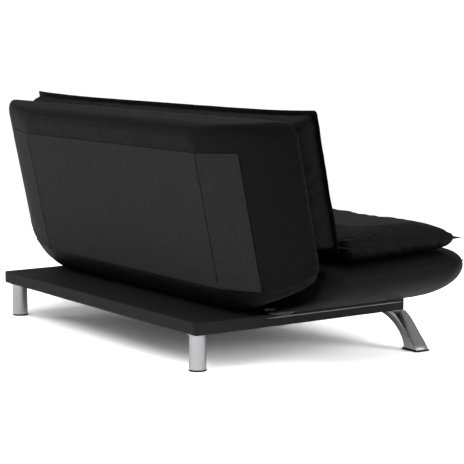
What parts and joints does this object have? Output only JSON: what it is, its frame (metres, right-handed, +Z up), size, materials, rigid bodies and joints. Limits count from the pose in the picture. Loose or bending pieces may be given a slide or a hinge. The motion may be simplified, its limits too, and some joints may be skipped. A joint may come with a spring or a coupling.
{
  "type": "futon sofa bed",
  "caption": "Click-clack sofa bed: hull-shaped upholstered seat and folding back with pillow-top pads on a low platform base with metal legs.",
  "frame": {"origin": "on the floor under the middle of the overall box", "axes": "+X along the sofa towards the seated person's left, -Y towards the front edge of the seat, +Z up"},
  "size_m": [1.84, 0.93, 0.8177],
  "materials": {
    "leatherette": "smooth black leatherette, fine grain, soft sheen",
    "rear_lining": "matte charcoal woven lining",
    "base_vinyl": "matte black vinyl",
    "satin_chrome": "satin chrome plate",
    "black_plastic": "moulded",
    "bright_steel": "bright zinc plated",
    "zinc_plate": "zinc plated sheet",
    "pine": "planed, raw",
    "plywood": "raw",
    "foam": "open-cell polyurethane foam",
    "zip_tape": "black zip tape"
  },
  "bodies": {
    "base": {"base_cover": "base_vinyl", "base_deck": "plywood", "base_frame": "pine", "front_glide_left": "black_plastic", "front_glide_right": "black_plastic", "front_leg_left": "satin_chrome", "front_leg_right": "satin_chrome", "hinge_bolt_left_1": "bright_steel", "hinge_bolt_left_2": "bright_steel", "hinge_bolt_right_1": "bright_steel", "hinge_bolt_right_2": "bright_steel", "hinge_plate_left": "zinc_plate", "hinge_plate_right": "zinc_plate", "pawl_pin_left": "bright_steel", "pawl_pin_right": "bright_steel", "pawl_spring_left": "bright_steel", "pawl_spring_right": "bright_steel", "pivot_bolt_left": "bright_steel", "pivot_bolt_right": "bright_steel", "rear_glide_left": "black_plastic", "rear_glide_right": "black_plastic", "rear_leg_left": "satin_chrome", "rear_leg_right": "satin_chrome", "seat_bolt_1": "bright_steel", "seat_bolt_2": "bright_steel", "seat_bolt_3": "bright_steel", "seat_bolt_4": "bright_steel", "seat_cover": "leatherette", "seat_foam": "foam", "seat_frame": "pine", "seat_pad_core": "foam", "seat_pad_cover": "leatherette", "seat_pad_zip": "zip_tape", "seat_riser_left": "pine", "seat_riser_right": "pine", "seat_spring_1": "bright_steel", "seat_spring_2": "bright_steel", "seat_spring_3": "bright_steel", "seat_spring_4": "bright_steel"},
    "back": {"arm_bolt_left_1": "bright_steel", "arm_bolt_left_2": "bright_steel", "arm_bolt_right_1": "bright_steel", "arm_bolt_right_2": "bright_steel", "back_cover": "leatherette", "back_foam": "foam", "back_frame": "pine", "back_lining": "rear_lining", "back_lining_side_left": "rear_lining", "back_lining_side_right": "rear_lining", "back_pad_core": "foam", "back_pad_cover": "leatherette", "back_pad_zip": "zip_tape", "back_spring_1": "bright_steel", "back_spring_2": "bright_steel", "back_spring_3": "bright_steel", "back_spring_4": "bright_steel", "ratchet_arm_left": "zinc_plate", "ratchet_arm_right": "zinc_plate"},
    "pawl_left": {"pawl_left": "zinc_plate"},
    "pawl_right": {"pawl_right": "zinc_plate"}
  },
  "joints": [
    {"name": "back_recline", "type": "hinge", "parent": "base", "child": "back", "pos_m": [0, 0.2206, 0.26], "axis": [-1, 0, 0], "range_deg": [-5, 78.19]},
    {"name": "pawl_left_swing", "type": "hinge", "parent": "base", "child": "pawl_left", "pos_m": [0.6069, 0.1746, 0.224], "axis": [1, 0, 0], "range_deg": [-3, 8], "stiffness_Nm_per_rad": 2},
    {"name": "pawl_right_swing", "type": "hinge", "parent": "base", "child": "pawl_right", "pos_m": [-0.6069, 0.1746, 0.224], "axis": [1, 0, 0], "range_deg": [-3, 8], "stiffness_Nm_per_rad": 2}
  ],
  "couplings": [
    {"joint": "pawl_right_swing", "follows": "pawl_left_swing", "ratio": 1}
  ]
}
